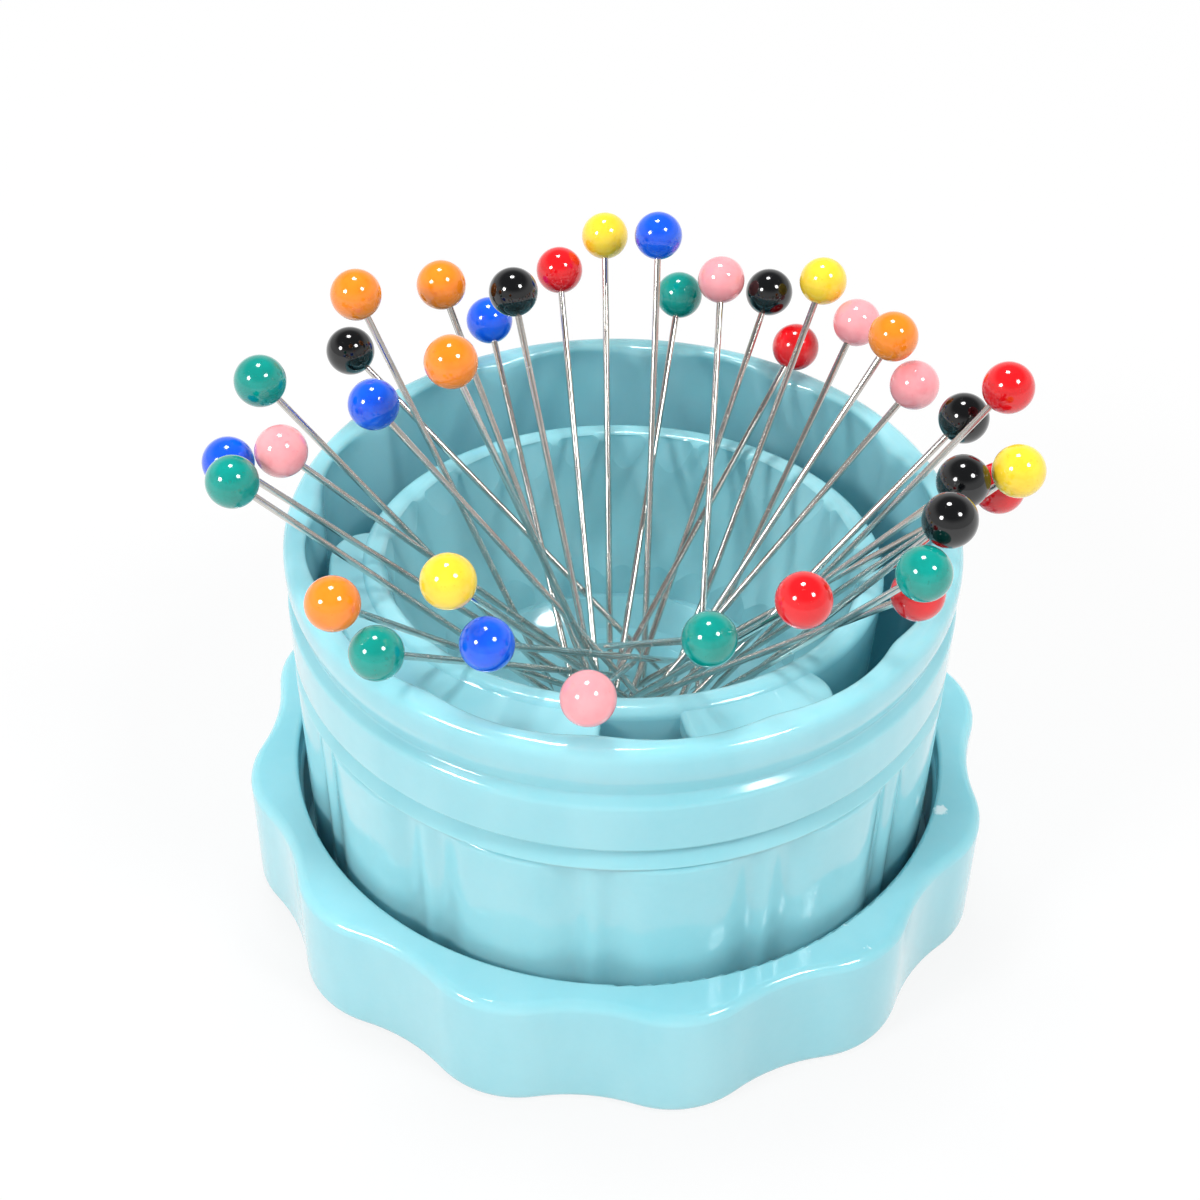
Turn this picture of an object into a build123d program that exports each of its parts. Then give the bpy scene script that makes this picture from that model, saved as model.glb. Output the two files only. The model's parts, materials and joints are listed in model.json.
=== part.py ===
from build123d import *
import os
from math import atan2, cos, degrees, hypot, radians, sin

# Magnetic pin bowl, in millimetres, +Z up, with the origin at the middle of the lid's underside
# A fluted cup stands in its own upturned lid and carries an oval bowl with a magnet under its floor
# Ball-head pins fan out of the bowl, each with its tip on the seat above the magnet

# Overrun of every cutting solid past the face that it opens
overrun = 1.0

# Flutes of the lid and the cup, which line up, with the angle of one lobe from +X in degrees
fluteCount = 12
lobeTurn = 11.3

# Cup, from its foot up
cupHeight = 37.2
cupRadius = 30.0
cupUpperCollar = 4.2
cupLedge = 1.8
cupLedgeDepth = 0.75
cupLowerCollar = 4.9
cupSlit = 0.35
cupSlitDepth = 0.5
cupBand = 1.85
cupBandInset = 0.1
cupTaper = 0.4
cupRimRound = 1.1
cupLipRound = 0.8
cupEdgeRound = 0.3
cupFootRound = 0.8
cupFloor = 1.6
cupFootDepth = 0.6
cupFootRing = 3.0
cupValleyDepth = 0.75
cupValleyCurve = 1.35
cupRibProud = 0.3
cupRibCurve = 0.4
cupLobeWall = 2.1
cupBulge = 1.1
cupCavityCurve = 12.0
cupCavityRound = 1.2

# Lid, upturned, so that its top plate is the foot
lidHeight = 12.8
lidFloor = 1.8
lidWall = 2.76
lidLobe = 1.78
lidLobeCurve = 9.07
lidTopRound = 0.9
lidFootRound = 1.1
lidMouthRound = 0.4
lidFit = 0.7
lidBeadProud = 0.3
lidBeadCurve = 0.9
lidBeadDrop = 3.0

# Bowl, with its oval rim below the cup's rim
bowlDrop = 4.0
bowlWidth = 47.0
bowlLength = 41.6
bowlRing = 2.3
bowlRingDepth = 2.4
bowlRingRound = 0.95
bowlDepth = 18.2
bowlFloor = 1.6
bowlWall = 1.5
bowlSkirtWall = 1.5
bowlSkirtTaper = 1.5
bowlFluteCount = 24
bowlFluteDepth = 0.35
bowlFluteCurve = 4.5
seatRadius = 9.0
seatHeight = 0.6
seatRound = 0.3

# Depth below the bowl's mouth as a share of its depth, and its half sizes there as a share of the mouth's
bowlCurveShares = [(0.0, 1.0), (0.42, 0.93), (0.78, 0.8), (1.0, 0.6)]

# Ears that centre the bowl in the cup, as the angles from +X where each begins and ends
earAngles = [(172.0, 266.0), (284.0, 318.0)]
earGap = 0.5
earDrop = 0.4
earThickness = 2.0
earCorner = 3.5
earRound = 0.5

# Magnet and the cap that closes its pocket under the bowl's floor
magnetRadius = 8.0
magnetThickness = 3.0
magnetFit = 0.1
pocketWall = 1.5
capThickness = 1.2

# Pins
pinRadius = 0.31
pinReach = 43.1
pinPoint = 2.6
pinTipRadius = 0.04
pinInHead = 1.6
headRadius = 2.25
headBoreGap = 0.02
tipGap = 0.1

# Each pin's colour, heading and lean in degrees, and its tip's place as shares of the seat's radius
pinShares = [
    ("orange", 156, 26, -0.70, 0.10), ("orange", 129, 35, -0.15, -0.35), ("black", 112, 36, -0.10, -0.85),
    ("red", 99, 47, -0.20, -0.25), ("yellow", 93, 42, -0.10, 0.25), ("blue", 89, 35, 0.25, 0.10),
    ("green", 80, 51, -0.10, -0.50), ("pink", 87, 45, 0.80, -0.50), ("black", 66, 48, 0.05, -0.30),
    ("yellow", 61, 43, 0.45, -0.15), ("pink", 57, 48, 0.45, -0.60), ("orange", 35, 38, 0.20, -0.45),
    ("red", 56, 55, -0.40, -0.65), ("pink", 32, 47, -0.10, -0.70), ("red", 1, 34, 0.90, 0.05),
    ("black", 23, 45, 0.15, -0.90), ("yellow", -20, 39, 0.75, 0.15), ("black", -11, 40, 0.05, -0.40),
    ("red", -8, 48, 0.00, 0.05), ("black", -28, 34, 0.45, -0.70), ("green", -33, 39, 0.05, -0.75),
    ("red", -23, 49, -0.70, -0.55), ("red", -45, 39, -0.60, -0.65), ("green", -72, 49, -0.35, 0.80),
    ("pink", -97, 53, 0.20, 0.65), ("blue", -120, 51, 0.70, 0.60), ("yellow", -126, 39, 0.30, -0.20),
    ("orange", -128, 45, -0.40, 0.10), ("green", -126, 52, 0.10, 0.35), ("green", -163, 42, -0.50, -0.15),
    ("blue", -167, 45, -0.40, 0.20), ("pink", -161, 41, -0.20, 0.35), ("green", -175, 35, -0.70, 0.25),
    ("black", 156, 50, 0.50, 0.35), ("blue", 166, 41, 0.65, -0.65), ("orange", 179, 20, 0.05, -0.50),
    ("blue", 108, 53, -0.30, -0.85),
]

# Heights and radii that follow
cupBase = lidFloor
cupTop = cupBase + cupHeight
cupFloorTop = cupBase + cupFootDepth + cupFloor
ledgeTop = cupTop - cupUpperCollar
lowerCollarTop = ledgeTop - cupLedge
slitTop = lowerCollarTop - cupLowerCollar
bandTop = slitTop - cupSlit
bandFoot = bandTop - cupBand
bodyTop = bandFoot - cupSlit
cavityPeak = cupRadius - cupLobeWall
cavityValley = cavityPeak - cupBulge
lidBore = cupRadius + lidFit
lidValley = lidBore + lidWall
bowlTop = cupTop - bowlDrop
bowlFloorTop = bowlTop - bowlDepth
seatTop = bowlFloorTop + seatHeight
pocketTop = bowlFloorTop - bowlFloor
magnetFoot = pocketTop - magnetThickness
earRadius = cavityValley - earGap
earTop = bowlTop - earDrop
mouthX = bowlWidth / 2 - bowlRing
mouthY = bowlLength / 2 - bowlRing


def spot(radius, angle):
    return Vector(radius * cos(radians(angle)), radius * sin(radians(angle)))


# Outline of round lobes and valleys that run smoothly into each other
def scallops(peak, valley, lobeCurve):
    halfStep = 180 / fluteCount
    lobeCentre = peak - lobeCurve
    reach = lobeCentre * cos(radians(halfStep))
    spread = lobeCentre**2 + valley**2 - 2 * reach * valley - lobeCurve**2
    valleyCurve = spread / (2 * (lobeCurve - valley + reach))
    towards = spot(valley + valleyCurve, halfStep) - Vector(lobeCentre, 0)
    meet = Vector(lobeCentre, 0) + towards * (lobeCurve / (lobeCurve + valleyCurve))
    meetRadius = meet.length
    meetAngle = degrees(atan2(meet.Y, meet.X))
    edges = []
    for flute in range(fluteCount):
        middle = lobeTurn + 2 * halfStep * flute
        start = spot(meetRadius, middle - meetAngle)
        end = spot(meetRadius, middle + meetAngle)
        following = spot(meetRadius, middle + 2 * halfStep - meetAngle)
        edges.append(ThreePointArc(start, spot(peak, middle), end))
        edges.append(ThreePointArc(end, spot(valley, middle + halfStep), following))
    return make_face(edges)


def disc(radius, foot, height):
    return Pos(0, 0, foot) * Cylinder(radius, height, align=(Align.CENTER, Align.CENTER, Align.MIN))


# Rod that leans from one point to another and runs past both
def rod(foot, top, radius):
    lean = top - foot
    start = foot - lean.normalized() * overrun
    plain = Cylinder(radius, lean.length + 2 * overrun, align=(Align.CENTER, Align.CENTER, Align.MIN))
    return Plane(start, z_dir=lean) * plain


def makeLid():
    lobes = extrude(scallops(lidValley + lidLobe, lidValley, lidLobeCurve), lidHeight)
    foot = lobes.faces().sort_by(Axis.Z)[0].edges()
    lobes = fillet(foot, lidFootRound)
    mouth = lobes.faces().sort_by(Axis.Z)[-1].edges()
    lobes = fillet(mouth, lidTopRound)
    lid = lobes - disc(lidBore, lidFloor, lidHeight)
    edge = lid.edges().filter_by(GeomType.CIRCLE).sort_by(lambda e: abs(e.radius - lidBore) - e.center().Z)[0]
    lid = fillet(edge, lidMouthRound)
    beadPlace = Pos(0, 0, lidHeight - lidBeadDrop)
    bead = beadPlace * Torus(lidBore + lidBeadCurve - lidBeadProud, lidBeadCurve)
    return lid + bead


# Rod along the cup's tapered body, with its middle this far out from the surface
def bodyRod(angle, out, radius):
    foot = spot(cupRadius - cupTaper + out, angle) + Vector(0, 0, cupBase)
    top = spot(cupRadius + out, angle) + Vector(0, 0, bodyTop)
    return rod(foot, top, radius)


# Fluted body below the collars, whose valleys each have a small rib along the bottom
def makeCupBody():
    outline = [(0, cupBase), (cupRadius - cupTaper, cupBase), (cupRadius, bodyTop), (0, bodyTop)]
    profile = make_face(Polyline(*outline, close=True))
    corner = profile.vertices().sort_by(Axis.X)[-2:].sort_by(Axis.Y)[0]
    body = revolve(Plane.XZ * fillet(corner, cupFootRound), Axis.Z)
    slab = disc(cupRadius, cupBase + cupFootRound, bodyTop - cupBase - cupFootRound)
    for flute in range(fluteCount):
        angle = lobeTurn + 360 / fluteCount * (flute + 1 / 2)
        valley = bodyRod(angle, cupValleyCurve - cupValleyDepth, cupValleyCurve)
        rib = bodyRod(angle, cupRibProud - cupRibCurve - cupValleyDepth, cupRibCurve)
        body = body - valley + (rib & slab)
    return body


# Turned bands above the body, from the slit under the band to the rounded rim
def makeCupCollars():
    slitRadius = cupRadius - cupSlitDepth
    bandRadius = cupRadius - cupBandInset
    outer = [
        (slitRadius, bodyTop), (slitRadius, bandFoot), (bandRadius, bandFoot), (bandRadius, bandTop),
        (slitRadius, bandTop), (slitRadius, slitTop), (cupRadius, slitTop), (cupRadius, lowerCollarTop),
        (cupRadius - cupLedgeDepth, ledgeTop), (cupRadius, ledgeTop), (cupRadius, cupTop),
    ]
    profile = make_face(Polyline((0, bodyTop), *outer, (0, cupTop), close=True))
    corners = profile.vertices().filter_by(lambda v: v.X > slitRadius + cupEdgeRound / 2)
    rim = corners.sort_by(Axis.Y)[-1]
    profile = fillet(corners.filter_by(lambda v: v.Y < rim.Y), cupEdgeRound)
    rim = profile.vertices().filter_by(lambda v: v.X > slitRadius).sort_by(Axis.Y)[-1]
    return revolve(Plane.XZ * fillet(rim, cupRimRound), Axis.Z)


def makeCup():
    cup = makeCupBody() + makeCupCollars()
    cavity = extrude(scallops(cavityPeak, cavityValley, cupCavityCurve), cupTop - cupFloorTop + overrun)
    cavity = fillet(cavity.faces().sort_by(Axis.Z)[0].edges(), cupCavityRound)
    cup -= Pos(0, 0, cupFloorTop) * cavity
    cup -= disc(cupRadius - cupTaper - cupFootRing, cupBase - overrun, cupFootDepth + overrun)
    lip = cup.faces().filter_by(Plane.XY).sort_by(Axis.Z)[-1].inner_wires()[0].edges()
    return fillet(lip, cupLipRound)


# Smooth stack of ovals from the highest to the lowest, each as half sizes and a height
def ovals(rings):
    return loft([Pos(0, 0, height) * Ellipse(halfX, halfY) for halfX, halfY, height in rings])


# Bowl's hollow, or its outside where it is grown by the wall and the floor
def bowlForm(wall, floor):
    rings = []
    for depthShare, sizeShare in bowlCurveShares:
        height = bowlTop - (bowlDepth + floor) * depthShare
        rings.append((mouthX * sizeShare + wall, mouthY * sizeShare + wall, height))
    return ovals(rings)


# Standing oval wall from the cup's floor to a height, narrower at its foot
def skirt(inset, top):
    halfX = bowlWidth / 2 - inset
    halfY = bowlLength / 2 - inset
    foot = (halfX - bowlSkirtTaper, halfY - bowlSkirtTaper, cupFloorTop)
    return ovals([(halfX, halfY, top), foot])


# Distance from the axis to the mouth's oval, shrunk by a share, at an angle
def mouthRadius(angle, share):
    return share / hypot(cos(radians(angle)) / mouthX, sin(radians(angle)) / mouthY)


# Shallow flutes down the bowl's inner wall, deepest at the rim
def bowlFlutes():
    flutes = []
    depthShare, sizeShare = bowlCurveShares[2]
    for flute in range(bowlFluteCount):
        angle = 360 / bowlFluteCount * flute
        top = spot(mouthRadius(angle, 1) + bowlFluteDepth - bowlFluteCurve, angle)
        foot = spot(mouthRadius(angle, sizeShare) - bowlFluteCurve, angle)
        high = top + Vector(0, 0, bowlTop)
        low = foot + Vector(0, 0, bowlTop - bowlDepth * depthShare)
        flutes.append(rod(low, high, bowlFluteCurve))
    return flutes


# Flat ear from the rim out to the cup's wall, with rounded outer corners
def ear(begin, end):
    middle = (begin + end) / 2
    sides = [Line((0, 0), spot(earRadius, begin)), Line(spot(earRadius, end), (0, 0))]
    rim = ThreePointArc(spot(earRadius, begin), spot(earRadius, middle), spot(earRadius, end))
    sector = make_face([sides[0], rim, sides[1]])
    corners = sector.vertices().filter_by(lambda v: hypot(v.X, v.Y) > earRadius / 2)
    plate = extrude(fillet(corners, earCorner), earThickness)
    plate = fillet(plate.faces().sort_by(Axis.Z)[-1].edges(), earRound)
    return Pos(0, 0, earTop - earThickness) * plate


def makeBowl():
    body = skirt(0, bowlTop)
    hollow = skirt(bowlSkirtWall, bowlTop - bowlRingDepth) - bowlForm(bowlWall, bowlFloor)
    body = body - hollow - bowlForm(0, 0)
    ring = body.faces().filter_by(Plane.XY).sort_by(Axis.Z)[-1].edges()
    body = fillet(ring, bowlRingRound)
    for begin, end in earAngles:
        body += ear(begin, end) - skirt(bowlRing / 2, bowlTop)
    for flute in bowlFlutes():
        body -= flute
    pocketFoot = magnetFoot - capThickness
    pocketRadius = magnetRadius + magnetFit
    body += disc(pocketRadius + pocketWall, pocketFoot, bowlFloorTop - pocketFoot)
    body -= disc(pocketRadius, pocketFoot - overrun, pocketTop - pocketFoot + overrun)
    seat = disc(seatRadius, bowlFloorTop, seatHeight)
    return body + fillet(seat.edges().sort_by(Axis.Z)[-1], seatRound)


def makeMagnet():
    return disc(magnetRadius, magnetFoot, magnetThickness)


def makeMagnetCap():
    return disc(magnetRadius, magnetFoot - capThickness, capThickness)


# Pointed shaft along +Z from its tip, with a ball pressed on its far end
def makePin():
    upright = (Align.CENTER, Align.CENTER, Align.MIN)
    shaft = Cone(pinTipRadius, pinRadius, pinPoint, align=upright)
    length = pinReach - headRadius + pinInHead
    shaft += Pos(0, 0, pinPoint) * Cylinder(pinRadius, length - pinPoint, align=upright)
    bore = Pos(0, 0, pinReach - 2 * headRadius) * Cylinder(
        pinRadius + headBoreGap, headRadius + pinInHead + headBoreGap, align=upright
    )
    head = Pos(0, 0, pinReach) * Sphere(headRadius) - bore
    return Compound([shaft.solid(), head.solid()])


def placePins(pin):
    counts = {}
    placed = {}
    for colour, heading, lean, eastShare, northShare in pinShares:
        counts[colour] = counts.get(colour, 0) + 1
        tip = Pos(seatRadius * eastShare, seatRadius * northShare, seatTop + tipGap)
        placed[f"pin_{colour}_{counts[colour]}"] = tip * Rot(0, 0, heading) * Rot(0, lean, 0) * pin
    return placed


parts = {
    "lid": makeLid(), "cup": makeCup(), "bowl": makeBowl(), "magnet": makeMagnet(), "magnet_cap": makeMagnetCap(),
}
parts.update(placePins(makePin()))
os.makedirs("parts", exist_ok=True)
for name, shape in parts.items():
    export_step(shape, f"parts/{name}.step")
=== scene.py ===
import json
from math import cos, exp, pi, radians, sin, sqrt

import bpy
from mathutils import Matrix, Vector


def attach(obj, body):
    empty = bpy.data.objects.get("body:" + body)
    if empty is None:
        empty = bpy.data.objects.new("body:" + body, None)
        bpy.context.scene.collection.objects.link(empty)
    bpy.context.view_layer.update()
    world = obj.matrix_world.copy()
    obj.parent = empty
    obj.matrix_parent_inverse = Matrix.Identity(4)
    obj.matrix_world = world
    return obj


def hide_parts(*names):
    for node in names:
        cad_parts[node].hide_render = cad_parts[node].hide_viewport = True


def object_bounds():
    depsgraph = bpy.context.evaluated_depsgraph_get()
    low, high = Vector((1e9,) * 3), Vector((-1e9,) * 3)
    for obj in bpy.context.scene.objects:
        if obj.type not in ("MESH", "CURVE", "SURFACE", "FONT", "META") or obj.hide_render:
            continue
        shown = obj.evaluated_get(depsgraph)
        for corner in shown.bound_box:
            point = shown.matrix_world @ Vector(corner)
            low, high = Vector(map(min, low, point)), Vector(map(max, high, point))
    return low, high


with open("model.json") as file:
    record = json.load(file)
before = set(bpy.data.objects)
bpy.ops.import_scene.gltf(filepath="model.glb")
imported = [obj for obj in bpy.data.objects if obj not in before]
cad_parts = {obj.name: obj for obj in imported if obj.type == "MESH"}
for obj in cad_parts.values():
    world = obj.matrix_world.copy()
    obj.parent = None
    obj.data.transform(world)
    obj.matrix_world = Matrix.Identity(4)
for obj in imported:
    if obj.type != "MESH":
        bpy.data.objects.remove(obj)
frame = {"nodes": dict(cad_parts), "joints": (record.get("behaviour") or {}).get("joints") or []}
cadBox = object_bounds()
scene = bpy.context.scene
nodes = frame["nodes"]

# the camera stands in front of the bowl and looks down into it
cameraSetup = {
    "place": (0.0, -0.1471, 0.1527),
    "turn": (50.08, -0.61, 1.28),
    "lens": 63.0,
    "sensor": 36.0,
}
camera = bpy.data.objects.new("bowlCamera", bpy.data.cameras.new("bowlCamera"))
camera.location = cameraSetup["place"]
camera.rotation_euler = [radians(angle) for angle in cameraSetup["turn"]]
camera.data.lens = cameraSetup["lens"]
camera.data.sensor_width = cameraSetup["sensor"]
camera.data.clip_start = 0.005
camera.data.clip_end = 30.0
scene.collection.objects.link(camera)
scene.camera = camera
scene.view_settings.view_transform = "Standard"


# small helpers for node trees


def addNode(tree, kind, values=None, **settings):
    node = tree.nodes.new(kind)
    for name, value in settings.items():
        setattr(node, name, value)
    for name, value in (values or {}).items():
        node.inputs[name].default_value = value
    return node


def wire(tree, source, target):
    tree.links.new(source, target)


def math(tree, operation, first, second=None, clamp=False):
    node = addNode(tree, "ShaderNodeMath", operation=operation, use_clamp=clamp)
    for socket, value in zip(node.inputs, (first, second)):
        if value is None:
            continue
        if isinstance(value, (int, float)):
            socket.default_value = value
        else:
            wire(tree, value, socket)
    return node.outputs[0]


def spread(tree, value, low, high, toLow=0.0, toHigh=1.0):
    node = addNode(
        tree,
        "ShaderNodeMapRange",
        {"From Min": low, "From Max": high, "To Min": toLow, "To Max": toHigh},
        interpolation_type="SMOOTHSTEP",
    )
    wire(tree, value, node.inputs["Value"])
    return node.outputs[0]


def noise(tree, place, scale, detail=2.0, roughness=0.5, stretch=None, turn=None):
    if stretch or turn:
        mapping = addNode(tree, "ShaderNodeMapping")
        mapping.inputs["Scale"].default_value = stretch or (1.0, 1.0, 1.0)
        mapping.inputs["Rotation"].default_value = turn or (0.0, 0.0, 0.0)
        wire(tree, place, mapping.inputs["Vector"])
        place = mapping.outputs[0]
    node = addNode(
        tree, "ShaderNodeTexNoise", {"Scale": scale, "Detail": detail, "Roughness": roughness}
    )
    wire(tree, place, node.inputs["Vector"])
    return node.outputs["Fac"]


def blendColour(tree, factor, first, second):
    node = addNode(tree, "ShaderNodeMix", data_type="RGBA")
    wire(tree, factor, node.inputs[0])
    for socket, value in ((node.inputs[6], first), (node.inputs[7], second)):
        if isinstance(value, tuple):
            socket.default_value = value
        else:
            wire(tree, value, socket)
    return node.outputs[2]


def newGroup(name, inputs, outputs):
    group = bpy.data.node_groups.new(name, "ShaderNodeTree")
    for socketName, kind, default in inputs:
        socket = group.interface.new_socket(socketName, in_out="INPUT", socket_type=kind)
        socket.default_value = default
    for socketName, kind in outputs:
        group.interface.new_socket(socketName, in_out="OUTPUT", socket_type=kind)
    return group, addNode(group, "NodeGroupInput"), addNode(group, "NodeGroupOutput")


def placeGroup(tree, group, **values):
    node = addNode(tree, "ShaderNodeGroup", node_tree=group)
    for name, value in values.items():
        node.inputs[name].default_value = value
    return node


def newMaterial(name, **values):
    material = bpy.data.materials.new(name)
    material.use_nodes = True
    shader = material.node_tree.nodes["Principled BSDF"]
    for socketName, value in values.items():
        shader.inputs[socketName.replace("_", " ")].default_value = value
    return material, material.node_tree, shader


def fromHex(code):
    parts = [int(code[start : start + 2], 16) / 255 for start in (0, 2, 4)]
    linear = [part / 12.92 if part < 0.04045 else ((part + 0.055) / 1.055) ** 2.4 for part in parts]
    return (*linear, 1.0)


# finishes

# moulded plastic: faint flow streaks, a soft ripple in the gloss, fine hairlines and dull scuffs
mouldedSkin, skinIn, skinOut = newGroup(
    "mouldedSkin",
    (
        ("Pale", "NodeSocketColor", (0.8, 0.8, 0.8, 1.0)),
        ("Deep", "NodeSocketColor", (0.5, 0.5, 0.5, 1.0)),
        ("Gloss", "NodeSocketFloat", 0.16),
        ("Scuffs", "NodeSocketFloat", 0.5),
        ("Ripple", "NodeSocketFloat", 0.00003),
    ),
    (
        ("Colour", "NodeSocketColor"),
        ("Roughness", "NodeSocketFloat"),
        ("Height", "NodeSocketFloat"),
    ),
)
skinPlace = addNode(mouldedSkin, "ShaderNodeTexCoord").outputs["Object"]
flow = noise(mouldedSkin, skinPlace, 90.0, 3.0, 0.55, stretch=(1.0, 1.0, 0.3))
speckle = noise(mouldedSkin, skinPlace, 1400.0, 2.0, 0.6)
hairOne = noise(mouldedSkin, skinPlace, 1.0, 1.0, 0.4, (60.0, 5200.0, 60.0), (0.0, 0.0, 0.5))
hairTwo = noise(mouldedSkin, skinPlace, 1.0, 1.0, 0.4, (4600.0, 70.0, 70.0), (0.0, 0.0, 0.9))
hairs = math(
    mouldedSkin,
    "MAXIMUM",
    spread(mouldedSkin, hairOne, 0.70, 0.78),
    spread(mouldedSkin, hairTwo, 0.71, 0.79),
)
scuffCloud = spread(mouldedSkin, noise(mouldedSkin, skinPlace, 160.0, 4.0, 0.6), 0.6, 0.8)
scuffGrain = spread(mouldedSkin, noise(mouldedSkin, skinPlace, 3600.0, 2.0, 0.6), 0.5, 0.75)
scuffs = math(
    mouldedSkin,
    "MULTIPLY",
    math(mouldedSkin, "MAXIMUM", math(mouldedSkin, "MULTIPLY", scuffCloud, scuffGrain), hairs),
    skinIn.outputs["Scuffs"],
)
tone = math(
    mouldedSkin,
    "ADD",
    spread(mouldedSkin, flow, 0.3, 0.72, 0.0, 0.8),
    math(mouldedSkin, "MULTIPLY", speckle, 0.25),
)
# pale knocks from use, as places in metres and how far each reaches
wearMarks = (
    ((0.0300, -0.0092, 0.0128), 0.0016),
    ((0.0283, -0.0124, 0.0128), 0.0009),
    ((0.0220, -0.0261, 0.0125), 0.0012),
    ((0.0202, -0.0236, 0.0128), 0.0010),
    ((0.0146, -0.0262, 0.0312), 0.0007),
)
knocks = None
ragged = math(mouldedSkin, "MULTIPLY", noise(mouldedSkin, skinPlace, 1500.0, 3.0, 0.7), 0.0016)
for place, reach in wearMarks:
    away = addNode(mouldedSkin, "ShaderNodeVectorMath", operation="DISTANCE")
    wire(mouldedSkin, skinPlace, away.inputs[0])
    away.inputs[1].default_value = place
    near = spread(
        mouldedSkin, math(mouldedSkin, "ADD", away.outputs["Value"], ragged), reach * 0.75, reach, 1.0, 0.0
    )
    knocks = math(mouldedSkin, "MAXIMUM", knocks, near) if knocks else near
wire(
    mouldedSkin,
    blendColour(
        mouldedSkin,
        math(mouldedSkin, "MULTIPLY", knocks, 0.8),
        blendColour(mouldedSkin, tone, skinIn.outputs["Pale"], skinIn.outputs["Deep"]),
        fromHex("eaf7fa"),
    ),
    skinOut.inputs["Colour"],
)
wire(
    mouldedSkin,
    math(
        mouldedSkin,
        "ADD",
        skinIn.outputs["Gloss"],
        math(
            mouldedSkin,
            "ADD",
            math(mouldedSkin, "MULTIPLY", math(mouldedSkin, "MAXIMUM", scuffs, knocks), 0.25),
            math(mouldedSkin, "MULTIPLY", flow, 0.05),
        ),
    ),
    skinOut.inputs["Roughness"],
)
ripple = math(
    mouldedSkin,
    "MULTIPLY",
    noise(mouldedSkin, skinPlace, 240.0, 1.0, 0.4),
    skinIn.outputs["Ripple"],
)
wire(
    mouldedSkin,
    math(mouldedSkin, "SUBTRACT", ripple, math(mouldedSkin, "MULTIPLY", scuffs, 0.0000012)),
    skinOut.inputs["Height"],
)


def makePlastic(name, pale, deep, gloss, scuffs, ripple):
    material, tree, shader = newMaterial(
        name, IOR=1.58, Coat_Weight=0.35, Coat_Roughness=0.05, Subsurface_Weight=0.3
    )
    shader.inputs["Subsurface Radius"].default_value = (0.4, 1.0, 1.1)
    shader.inputs["Subsurface Scale"].default_value = 0.003
    skin = placeGroup(
        tree,
        mouldedSkin,
        Pale=fromHex(pale),
        Deep=fromHex(deep),
        Gloss=gloss,
        Scuffs=scuffs,
        Ripple=ripple,
    )
    wire(tree, skin.outputs["Colour"], shader.inputs["Base Color"])
    wire(tree, skin.outputs["Roughness"], shader.inputs["Roughness"])
    bump = addNode(tree, "ShaderNodeBump", {"Strength": 1.0, "Distance": 1.0})
    wire(tree, skin.outputs["Height"], bump.inputs["Height"])
    wire(tree, bump.outputs["Normal"], shader.inputs["Normal"])
    return material


plasticFinish = {
    "pale": "a0d8e1",
    "deep": "8ecfda",
    "gloss": 0.09,
    "scuffs": 0.35,
    "ripple": 0.00005,
}
turquoise = makePlastic("turquoisePlastic", **plasticFinish)
for name in ("lid", "bowl", "magnet_cap"):
    for slot in nodes[name].material_slots:
        slot.material = turquoise
print("turquoise plastic on the lid, the bowl and the magnet's cap")

# pin heads: a clear glossy skin over a colour that clouds a little, with the mark of the mould's gate
beadSkin, beadIn, beadOut = newGroup(
    "beadSkin",
    (
        ("Bright", "NodeSocketColor", (0.8, 0.8, 0.8, 1.0)),
        ("Dark", "NodeSocketColor", (0.5, 0.5, 0.5, 1.0)),
    ),
    (
        ("Colour", "NodeSocketColor"),
        ("Roughness", "NodeSocketFloat"),
        ("Height", "NodeSocketFloat"),
    ),
)
beadPlace = addNode(beadSkin, "ShaderNodeTexCoord").outputs["Object"]
gate = addNode(beadSkin, "ShaderNodeAttribute", attribute_name="gateDistance").outputs["Fac"]
cloud = noise(beadSkin, beadPlace, 520.0, 3.0, 0.55)
pits = spread(beadSkin, noise(beadSkin, beadPlace, 2400.0, 2.0, 0.5), 0.66, 0.74)
gateDip = spread(beadSkin, gate, 0.00016, 0.00026)
gateRing = math(
    beadSkin, "SUBTRACT", gateDip, spread(beadSkin, gate, 0.00028, 0.00042)
)
wire(
    beadSkin,
    blendColour(
        beadSkin,
        math(beadSkin, "ADD", spread(beadSkin, cloud, 0.3, 0.75, 0.0, 0.8), pits, clamp=True),
        beadIn.outputs["Bright"],
        beadIn.outputs["Dark"],
    ),
    beadOut.inputs["Colour"],
)
wire(
    beadSkin,
    math(
        beadSkin,
        "ADD",
        spread(beadSkin, cloud, 0.3, 0.8, 0.07, 0.13),
        math(beadSkin, "MULTIPLY", pits, 0.2),
    ),
    beadOut.inputs["Roughness"],
)
wire(
    beadSkin,
    math(
        beadSkin,
        "ADD",
        math(beadSkin, "MULTIPLY", cloud, 0.00002),
        math(beadSkin, "MULTIPLY", math(beadSkin, "ADD", gateDip, gateRing), 0.00003),
    ),
    beadOut.inputs["Height"],
)


def makeBeadFinish(name, bright, dark):
    material, tree, shader = newMaterial(
        name, IOR=1.55, Coat_Weight=0.5, Coat_Roughness=0.04
    )
    skin = placeGroup(tree, beadSkin, Bright=fromHex(bright), Dark=fromHex(dark))
    wire(tree, skin.outputs["Colour"], shader.inputs["Base Color"])
    wire(tree, skin.outputs["Roughness"], shader.inputs["Roughness"])
    bump = addNode(tree, "ShaderNodeBump", {"Strength": 1.0, "Distance": 1.0})
    wire(tree, skin.outputs["Height"], bump.inputs["Height"])
    wire(tree, bump.outputs["Normal"], shader.inputs["Normal"])
    return material


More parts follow.
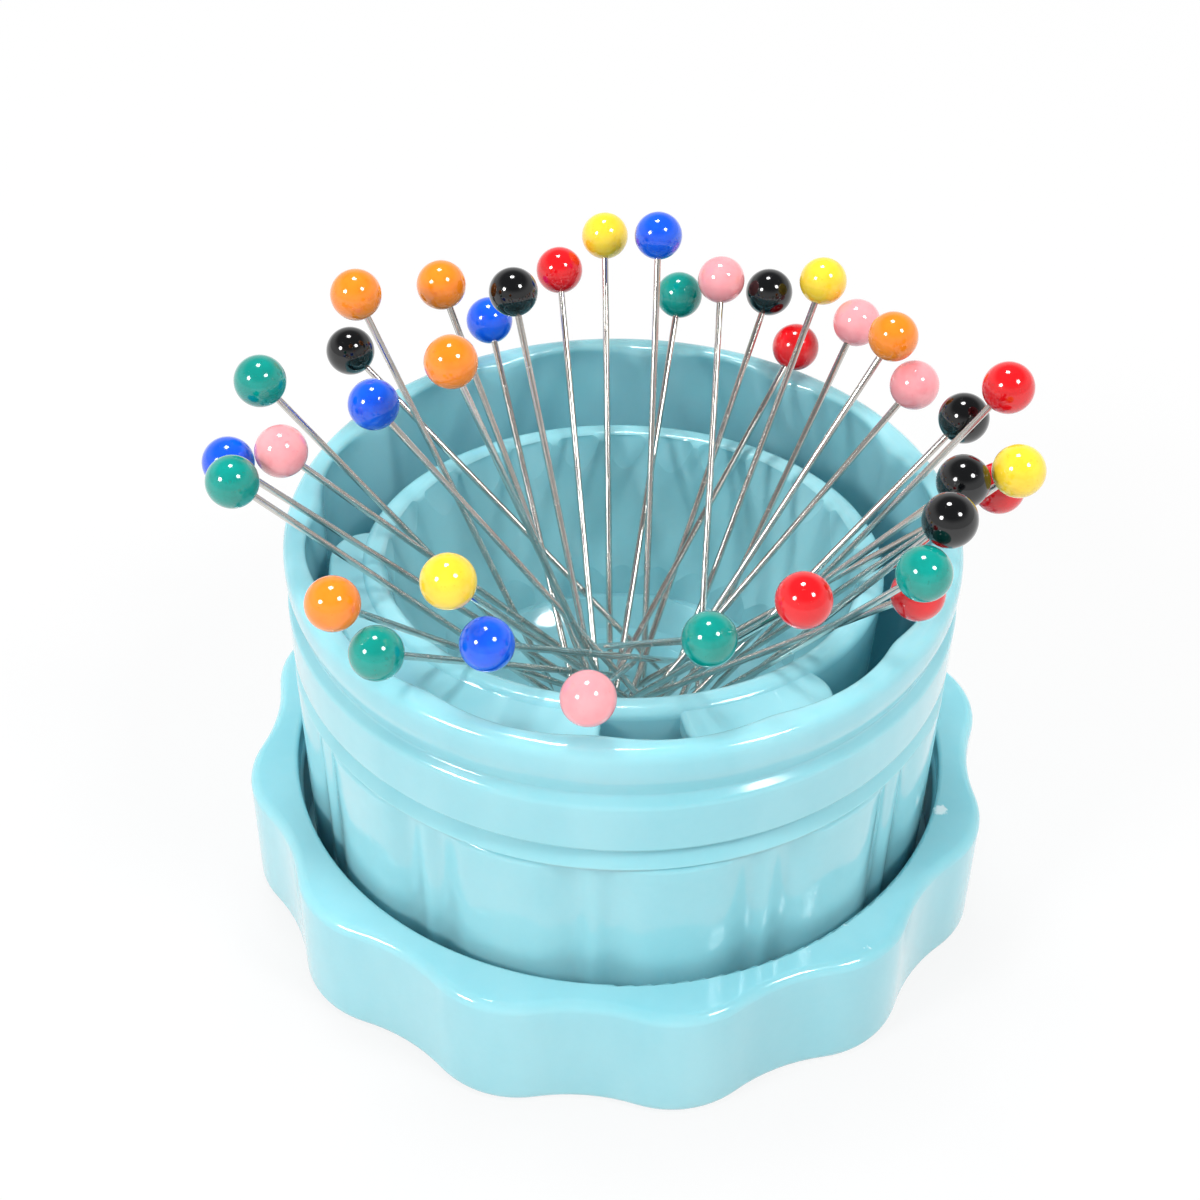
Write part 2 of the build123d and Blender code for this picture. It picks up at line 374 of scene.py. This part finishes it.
headColours = {
    "orange": ("ff9022", "fa8212"),
    "red": ("ea141e", "d80b15"),
    "yellow": ("ffde3c", "fbcc28"),
    "blue": ("0c62f2", "064ee0"),
    "green": ("009c90", "00887c"),
    "pink": ("ffa8ae", "fe98a0"),
    "black": ("06070a", "030405"),
}
headFinish = {
    colour: makeBeadFinish(colour + "Bead", *tones) for colour, tones in headColours.items()
}

# drawn steel: streaks that run along the wire, a few dull spots
drawnSteel, steelIn, steelOut = newGroup(
    "drawnSteel",
    (
        ("Bright", "NodeSocketColor", (0.8, 0.8, 0.8, 1.0)),
        ("Dark", "NodeSocketColor", (0.5, 0.5, 0.5, 1.0)),
    ),
    (
        ("Colour", "NodeSocketColor"),
        ("Roughness", "NodeSocketFloat"),
        ("Height", "NodeSocketFloat"),
    ),
)
alongPin = addNode(drawnSteel, "ShaderNodeAttribute", attribute_name="alongPin").outputs["Vector"]
streaks = noise(drawnSteel, alongPin, 1.0, 3.0, 0.6, stretch=(9000.0, 9000.0, 260.0))
spots = spread(drawnSteel, noise(drawnSteel, alongPin, 700.0, 3.0, 0.6), 0.55, 0.72)
wire(
    drawnSteel,
    blendColour(
        drawnSteel,
        math(
            drawnSteel,
            "ADD",
            spread(drawnSteel, streaks, 0.35, 0.7, 0.0, 0.7),
            math(drawnSteel, "MULTIPLY", spots, 0.3),
        ),
        steelIn.outputs["Bright"],
        steelIn.outputs["Dark"],
    ),
    steelOut.inputs["Colour"],
)
wire(
    drawnSteel,
    math(
        drawnSteel,
        "ADD",
        spread(drawnSteel, streaks, 0.3, 0.7, 0.15, 0.25),
        math(drawnSteel, "MULTIPLY", spots, 0.12),
    ),
    steelOut.inputs["Roughness"],
)
wire(drawnSteel, math(drawnSteel, "MULTIPLY", streaks, 0.000002), steelOut.inputs["Height"])


def makeSteel(name, bright, dark):
    material, tree, shader = newMaterial(name, Metallic=1.0)
    skin = placeGroup(tree, drawnSteel, Bright=fromHex(bright), Dark=fromHex(dark))
    wire(tree, skin.outputs["Colour"], shader.inputs["Base Color"])
    wire(tree, skin.outputs["Roughness"], shader.inputs["Roughness"])
    bump = addNode(tree, "ShaderNodeBump", {"Strength": 1.0, "Distance": 1.0})
    wire(tree, skin.outputs["Height"], bump.inputs["Height"])
    wire(tree, bump.outputs["Normal"], shader.inputs["Normal"])
    return material


shaftFinish = makeSteel("pinSteel", "e2dfda", "b0aca6")
magnetFinish = makeSteel("magnetPlating", "c4c5c8", "93959a")
for slot in nodes["magnet"].material_slots:
    slot.material = magnetFinish
print("finishes made:", len(bpy.data.materials))

# cup

# corners of the turned section in millimetres, radius and height, each with how far it is rounded
cupShape = {
    "outside": [
        (26.4, 2.4, 0.2), (26.6, 1.8, 0.2), (29.6, 1.8, 0.8), (29.96, 25.5, 0.4), (29.45, 25.75, 0.1),
        (29.95, 25.95, 0.12), (29.0, 27.3, 0.15), (29.2, 28.0, 0.1), (29.95, 28.1, 0.35),
        (30.0, 33.1, 0.35), (29.15, 33.8, 0.2), (29.35, 34.5, 0.3), (30.0, 36.2, 0.9), (30.0, 39.0, 1.2),
    ],
    "lipRound": 0.9,
    "lipMiddle": 28.9,  # inside this radius the wall follows the hollow's lobes
    "top": 39.0,
    "underside": 2.4,
    "foot": 1.8,
    "floor": 4.0,
    "floorRound": 1.4,
    "lobes": 12,
    "turn": 11.3,  # heading of the first lobe in degrees
    "valleyDepth": 1.6,
    "valleyWidth": 3.0,
    "ribHeight": 0.95,
    "ribWidth": 1.4,
    "valleyTop": 25.55,
    "valleyInside": 27.0,  # the foot inside this radius stays round
    "hollowPeak": 28.3,
    "hollowDip": 1.5,
    "hollowCusp": 0.03,  # how soft the fold between two lobes is
    "hubRadius": 3.0,  # the floor's middle stays round
    "hubSpread": 22.0,
    "rimShare": 0.3,  # how much of the lobes shows at the rim, and how far down they are whole
    "rimBlend": 1.8,
    "longestStep": 1.2,
    "around": 450,
    "unit": 0.001,
}


def roundCorners(corners, steps=6):
    line = [Vector(corners[0][:2])]
    for before, corner, after in zip(corners, corners[1:], corners[2:]):
        here = Vector(corner[:2])
        back = (Vector(before[:2]) - here).normalized()
        on = (Vector(after[:2]) - here).normalized()
        reach = corner[2]
        for step in range(steps + 1):
            share = step / steps
            start = here + back * reach * (1 - share)
            end = here + on * reach * share
            line.append(start.lerp(end, share))
    line.append(Vector(corners[-1][:2]))
    return line


def subdivideLine(line, longest):
    dense = [line[0]]
    for before, point in zip(line, line[1:]):
        cuts = int((point - before).length / longest)
        dense += [before.lerp(point, cut / (cuts + 1)) for cut in range(1, cuts + 1)]
        dense.append(point)
    return dense


def lobeWave(angle):
    cusp = cupShape["hollowCusp"]
    return sqrt(cos(angle * cupShape["lobes"] / 2) ** 2 * (1 - cusp) + cusp)


def makeCup(finish):
    shape = cupShape
    lip = shape["hollowPeak"] - shape["hollowDip"] / 2
    corners = [(0.0, shape["underside"], 0.0)] + shape["outside"]
    corners += [(lip, shape["top"], shape["lipRound"]), (lip, shape["floor"], shape["floorRound"])]
    corners += [(0.0, shape["floor"], 0.0)]
    line = subdivideLine(roundCorners(corners), shape["longestStep"])
    lipTop = shape["top"] - 0.1
    overLip = (point.y > lipTop and point.x < shape["lipMiddle"] for point in line)
    inside = list(overLip).index(True)
    points, faces = [], []
    around = shape["around"]
    unit = shape["unit"]
    hub = shape["hubRadius"]
    for index, point in enumerate(line):
        if index in (0, len(line) - 1):
            points.append((0.0, 0.0, point.y * unit))
            continue
        for step in range(around):
            heading = 2 * pi * step / around
            turned = heading - radians(shape["turn"])
            radius = point.x
            onBody = shape["foot"] < point.y < shape["valleyTop"] and radius > shape["valleyInside"]
            if index < inside and onBody:
                pitch = 2 * pi / shape["lobes"]
                across = ((turned / pitch) % 1.0 - 0.5) * pitch * radius
                dip = shape["valleyDepth"] * exp(-((across / shape["valleyWidth"]) ** 2))
                rib = shape["ribHeight"] * exp(-((across / shape["ribWidth"]) ** 2))
                radius -= dip - rib
            elif index >= inside and radius > hub:
                wave = shape["hollowDip"] * (lobeWave(turned) - 0.5)
                depth = shape["top"] - point.y
                fromHub = (radius - hub) / shape["hubSpread"]
                radius += wave * min(1.0, fromHub, shape["rimShare"] + depth / shape["rimBlend"])
            points.append((radius * cos(heading) * unit, radius * sin(heading) * unit, point.y * unit))
    rings = len(line) - 2
    last = len(points) - 1
    for step in range(around):
        beside = (step + 1) % around
        faces.append((0, 1 + beside, 1 + step))
        for ring in range(rings - 1):
            low, high = 1 + ring * around, 1 + (ring + 1) * around
            faces.append((low + step, low + beside, high + beside, high + step))
        final = 1 + (rings - 1) * around
        faces.append((final + step, final + beside, last))
    mesh = bpy.data.meshes.new("cupShell")
    mesh.from_pydata(points, [], faces)
    mesh.validate()
    mesh.shade_smooth()
    mesh.materials.append(finish)
    cup = bpy.data.objects.new("cupShell", mesh)
    scene.collection.objects.link(cup)
    return cup


cup = makeCup(turquoise)
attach(cup, "cup")
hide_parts("cup")
print("cup made:", len(cup.data.polygons), "faces")

# pins

pinSizes = {
    "reach": 0.0431,  # tip to the middle of the head
    "headRadius": 0.00225,
    "shaftRadius": 0.00031,
    "tipRadius": 0.00004,
    "pointLength": 0.0026,
    "shaftInHead": 0.0016,
    "lumps": 0.00005,
    "shaftSteps": 80,
    "shaftSides": 20,
    "headSegments": 56,
    "headRings": 40,
}


def newPieceTree(name, inputs):
    tree = bpy.data.node_groups.new(name, "GeometryNodeTree")
    tree.is_modifier = True
    for socketName, kind in inputs:
        tree.interface.new_socket(socketName, in_out="INPUT", socket_type=kind)
    tree.interface.new_socket("Piece", in_out="OUTPUT", socket_type="NodeSocketGeometry")
    return tree, addNode(tree, "NodeGroupInput"), addNode(tree, "NodeGroupOutput")


def closeTree(tree, geometry, finish, output):
    realize = addNode(tree, "GeometryNodeRealizeInstances")
    wire(tree, geometry, realize.inputs["Geometry"])
    paint = addNode(tree, "GeometryNodeSetMaterial")
    wire(tree, realize.outputs[0], paint.inputs["Geometry"])
    wire(tree, finish, paint.inputs["Material"])
    wire(tree, paint.outputs[0], output)


def makeShaftTree():
    tree, given, made = newPieceTree(
        "pinShaft",
        (
            ("Shaft Length", "NodeSocketFloat"),
            ("Shaft Radius", "NodeSocketFloat"),
            ("Tip Radius", "NodeSocketFloat"),
            ("Point Length", "NodeSocketFloat"),
            ("Finish", "NodeSocketMaterial"),
        ),
    )
    top = addNode(tree, "ShaderNodeCombineXYZ")
    wire(tree, given.outputs["Shaft Length"], top.inputs["Z"])
    line = addNode(tree, "GeometryNodeCurvePrimitiveLine")
    wire(tree, top.outputs[0], line.inputs["End"])
    steps = addNode(tree, "GeometryNodeResampleCurve", {"Count": pinSizes["shaftSteps"]})
    wire(tree, line.outputs[0], steps.inputs["Curve"])
    height = addNode(tree, "ShaderNodeSeparateXYZ")
    wire(tree, addNode(tree, "GeometryNodeInputPosition").outputs[0], height.inputs[0])
    taper = addNode(tree, "ShaderNodeMapRange", interpolation_type="LINEAR")
    wire(tree, height.outputs["Z"], taper.inputs["Value"])
    wire(tree, given.outputs["Point Length"], taper.inputs["From Max"])
    wire(tree, given.outputs["Tip Radius"], taper.inputs["To Min"])
    wire(tree, given.outputs["Shaft Radius"], taper.inputs["To Max"])
    sides = {"Resolution": pinSizes["shaftSides"], "Radius": 1.0}
    ring = addNode(tree, "GeometryNodeCurvePrimitiveCircle", sides)
    tube = addNode(tree, "GeometryNodeCurveToMesh", {"Fill Caps": True})
    wire(tree, steps.outputs[0], tube.inputs["Curve"])
    wire(tree, ring.outputs[0], tube.inputs["Profile Curve"])
    wire(tree, taper.outputs[0], tube.inputs["Scale"])
    note = addNode(tree, "GeometryNodeStoreNamedAttribute", {"Name": "alongPin"}, data_type="FLOAT_VECTOR")
    wire(tree, tube.outputs[0], note.inputs["Geometry"])
    wire(tree, addNode(tree, "GeometryNodeInputPosition").outputs[0], note.inputs["Value"])
    closeTree(tree, note.outputs[0], given.outputs["Finish"], made.inputs["Piece"])
    return tree


def makeHeadTree():
    tree, given, made = newPieceTree(
        "pinHead",
        (
            ("Head Radius", "NodeSocketFloat"),
            ("Head Height", "NodeSocketFloat"),
            ("Lumps", "NodeSocketFloat"),
            ("Seed", "NodeSocketInt"),
            ("Finish", "NodeSocketMaterial"),
        ),
    )
    mesh = {"Segments": pinSizes["headSegments"], "Rings": pinSizes["headRings"]}
    ball = addNode(tree, "GeometryNodeMeshUVSphere", mesh)
    wire(tree, given.outputs["Head Radius"], ball.inputs["Radius"])
    place = addNode(tree, "GeometryNodeInputPosition")
    gateSide = addNode(tree, "FunctionNodeRandomValue", data_type="FLOAT_VECTOR")
    gateSide.inputs["Min"].default_value = (-1.0, -1.0, -0.2)
    gateSide.inputs["Max"].default_value = (1.0, 1.0, 1.0)
    wire(tree, given.outputs["Seed"], gateSide.inputs["Seed"])
    toward = addNode(tree, "ShaderNodeVectorMath", operation="NORMALIZE")
    wire(tree, gateSide.outputs[0], toward.inputs[0])
    gatePoint = addNode(tree, "ShaderNodeVectorMath", operation="SCALE")
    wire(tree, toward.outputs[0], gatePoint.inputs[0])
    wire(tree, given.outputs["Head Radius"], gatePoint.inputs["Scale"])
    gateDistance = addNode(tree, "ShaderNodeVectorMath", operation="DISTANCE")
    wire(tree, place.outputs[0], gateDistance.inputs[0])
    wire(tree, gatePoint.outputs[0], gateDistance.inputs[1])
    note = addNode(tree, "GeometryNodeStoreNamedAttribute", {"Name": "gateDistance"}, data_type="FLOAT")
    wire(tree, ball.outputs["Mesh"], note.inputs["Geometry"])
    wire(tree, gateDistance.outputs["Value"], note.inputs["Value"])
    # the ball is a little out of round and never larger than its radius
    swell = addNode(
        tree, "ShaderNodeTexNoise", {"Scale": 260.0, "Detail": 1.0}, noise_dimensions="4D"
    )
    wire(tree, place.outputs[0], swell.inputs["Vector"])
    wire(tree, given.outputs["Seed"], swell.inputs["W"])
    sink = addNode(tree, "ShaderNodeMath", operation="MULTIPLY")
    wire(tree, swell.outputs["Fac"], sink.inputs[0])
    wire(tree, given.outputs["Lumps"], sink.inputs[1])
    inward = addNode(tree, "ShaderNodeMath", operation="MULTIPLY")
    inward.inputs[1].default_value = -1.0
    wire(tree, sink.outputs[0], inward.inputs[0])
    push = addNode(tree, "ShaderNodeVectorMath", operation="SCALE")
    wire(tree, addNode(tree, "GeometryNodeInputNormal").outputs[0], push.inputs[0])
    wire(tree, inward.outputs[0], push.inputs["Scale"])
    shape = addNode(tree, "GeometryNodeSetPosition")
    wire(tree, note.outputs[0], shape.inputs["Geometry"])
    wire(tree, push.outputs[0], shape.inputs["Offset"])
    lift = addNode(tree, "ShaderNodeCombineXYZ")
    wire(tree, given.outputs["Head Height"], lift.inputs["Z"])
    raised = addNode(tree, "GeometryNodeTransform")
    wire(tree, shape.outputs[0], raised.inputs["Geometry"])
    wire(tree, lift.outputs[0], raised.inputs["Translation"])
    closeTree(tree, raised.outputs[0], given.outputs["Finish"], made.inputs["Piece"])
    return tree


def growPiece(name, tree, values, placement):
    holder = bpy.data.objects.new(name, bpy.data.meshes.new(name))
    scene.collection.objects.link(holder)
    modifier = holder.modifiers.new("grow", "NODES")
    modifier.node_group = tree
    for item in tree.interface.items_tree:
        if item.item_type == "SOCKET" and item.in_out == "INPUT" and item.name in values:
            modifier[item.identifier] = values[item.name]
    depsgraph = bpy.context.evaluated_depsgraph_get()
    mesh = bpy.data.meshes.new_from_object(holder.evaluated_get(depsgraph))
    holder.modifiers.remove(modifier)
    mesh.transform(placement)
    mesh.shade_smooth()
    blank = holder.data
    holder.data = mesh
    bpy.data.meshes.remove(blank)
    mesh.name = name
    return holder


pullAxis = {joint["child"]: Vector(joint["axis"]).normalized() for joint in frame["joints"]}
shaftTree = makeShaftTree()
headTree = makeHeadTree()
pinNames = sorted(name for name in nodes if name.startswith("pin_"))
for count, name in enumerate(pinNames):
    axis = pullAxis[name]
    corners = [vertex.co for vertex in nodes[name].data.vertices]
    lowest = min(corner.dot(axis) for corner in corners)
    tipRing = [corner for corner in corners if corner.dot(axis) < lowest + 0.000001]
    tip = sum(tipRing, Vector()) / len(tipRing)
    placement = Matrix.Translation(tip) @ axis.to_track_quat("Z", "Y").to_matrix().to_4x4()
    colour = name.split("_")[1]
    shaft = growPiece(
        name + ".shaft",
        shaftTree,
        {
            "Shaft Length": pinSizes["reach"] - pinSizes["headRadius"] + pinSizes["shaftInHead"],
            "Shaft Radius": pinSizes["shaftRadius"],
            "Tip Radius": pinSizes["tipRadius"],
            "Point Length": pinSizes["pointLength"],
            "Finish": shaftFinish,
        },
        placement,
    )
    head = growPiece(
        name + ".head",
        headTree,
        {
            "Head Radius": pinSizes["headRadius"],
            "Head Height": pinSizes["reach"],
            "Lumps": pinSizes["lumps"],
            "Seed": count + 3,
            "Finish": headFinish[colour],
        },
        placement,
    )
    for piece in (shaft, head):
        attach(piece, name)
        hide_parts(name)
print("pins made:", len(pinNames))

# floor, backdrop and light

studio = {
    "floorSize": 8.0,
    "floorTone": 0.68,
    "floorGlow": 0.84,  # how much of the floor is plain white to the eye
    "horizon": 0.64,  # how strong the room is, as gloss mirrors it and as it lights the plastic
    "horizonDiffuse": 0.5,
    "overhead": 0.16,
    "overheadDiffuse": 0.76,
    "lampReach": 1.2,
    "lampSize": 0.3,
}
floorMesh = bpy.data.meshes.new("floor")
half = studio["floorSize"] / 2
floorLevel = cadBox[0].z
floorMesh.from_pydata(
    [(x * half, y * half, floorLevel) for x, y in ((-1, -1), (1, -1), (1, 1), (-1, 1))],
    [],
    [(0, 1, 2, 3)],
)
floor = bpy.data.objects.new("floor", floorMesh)
scene.collection.objects.link(floor)
floorPaint = bpy.data.materials.new("paleFloor")
floorPaint.use_nodes = True
tree = floorPaint.node_tree
tree.nodes.clear()
matte = addNode(tree, "ShaderNodeBsdfDiffuse", {"Color": (studio["floorTone"],) * 3 + (1.0,)})
glow = addNode(tree, "ShaderNodeEmission", {"Strength": 1.0})
path = addNode(tree, "ShaderNodeLightPath")
seen = math(
    tree,
    "MAXIMUM",
    math(tree, "MAXIMUM", path.outputs["Is Camera Ray"], path.outputs["Is Glossy Ray"]),
    path.outputs["Is Transmission Ray"],
)
floorMix = addNode(tree, "ShaderNodeMixShader")
wire(tree, math(tree, "MULTIPLY", seen, studio["floorGlow"]), floorMix.inputs[0])
wire(tree, matte.outputs[0], floorMix.inputs[1])
wire(tree, glow.outputs[0], floorMix.inputs[2])
wire(tree, floorMix.outputs[0], addNode(tree, "ShaderNodeOutputMaterial").inputs["Surface"])
floorMesh.materials.append(floorPaint)

# the room is white near the horizon and dimmer overhead, and the eye sees it plain white
world = bpy.data.worlds.new("studio")
scene.world = world
world.use_nodes = True
tree = world.node_tree
tree.nodes.clear()
direction = addNode(tree, "ShaderNodeSeparateXYZ")
wire(tree, addNode(tree, "ShaderNodeTexCoord").outputs["Generated"], direction.inputs[0])
path = addNode(tree, "ShaderNodeLightPath")
level = spread(tree, direction.outputs["Z"], 0.3, 0.7)
mirrored = path.outputs["Is Glossy Ray"]
for end, plain, glossy in (
    ("To Min", studio["horizonDiffuse"], studio["horizon"]),
    ("To Max", studio["overheadDiffuse"], studio["overhead"]),
):
    wire(tree, spread(tree, mirrored, 0.0, 1.0, plain, glossy), level.node.inputs[end])
room = addNode(tree, "ShaderNodeBackground", {"Color": (1.0, 1.0, 1.0, 1.0)})
wire(tree, level, room.inputs["Strength"])
backdrop = addNode(tree, "ShaderNodeBackground", {"Color": (1.0, 1.0, 1.0, 1.0), "Strength": 1.0})
worldMix = addNode(tree, "ShaderNodeMixShader")
wire(tree, path.outputs["Is Camera Ray"], worldMix.inputs[0])
wire(tree, room.outputs[0], worldMix.inputs[1])
wire(tree, backdrop.outputs[0], worldMix.inputs[2])
wire(tree, worldMix.outputs[0], addNode(tree, "ShaderNodeOutputWorld").inputs["Surface"])

# three round lamps give each head its three small lights
lampSides = {
    "overheadLamp": ((-0.09, 0.27, 0.955), 5.0),
    "leftLamp": ((-0.65, -0.49, 0.575), 6.2),
    "rightLamp": ((0.51, -0.36, 0.775), 5.0),
}
for name, (side, power) in lampSides.items():
    lampData = bpy.data.lights.new(name, "AREA")
    lampData.shape = "DISK"
    lampData.size = studio["lampSize"]
    lampData.energy = power
    lamp = bpy.data.objects.new(name, lampData)
    toLamp = Vector(side).normalized()
    lamp.location = toLamp * studio["lampReach"]
    lamp.rotation_euler = toLamp.to_track_quat("Z", "Y").to_euler()
    scene.collection.objects.link(lamp)
print("studio ready")
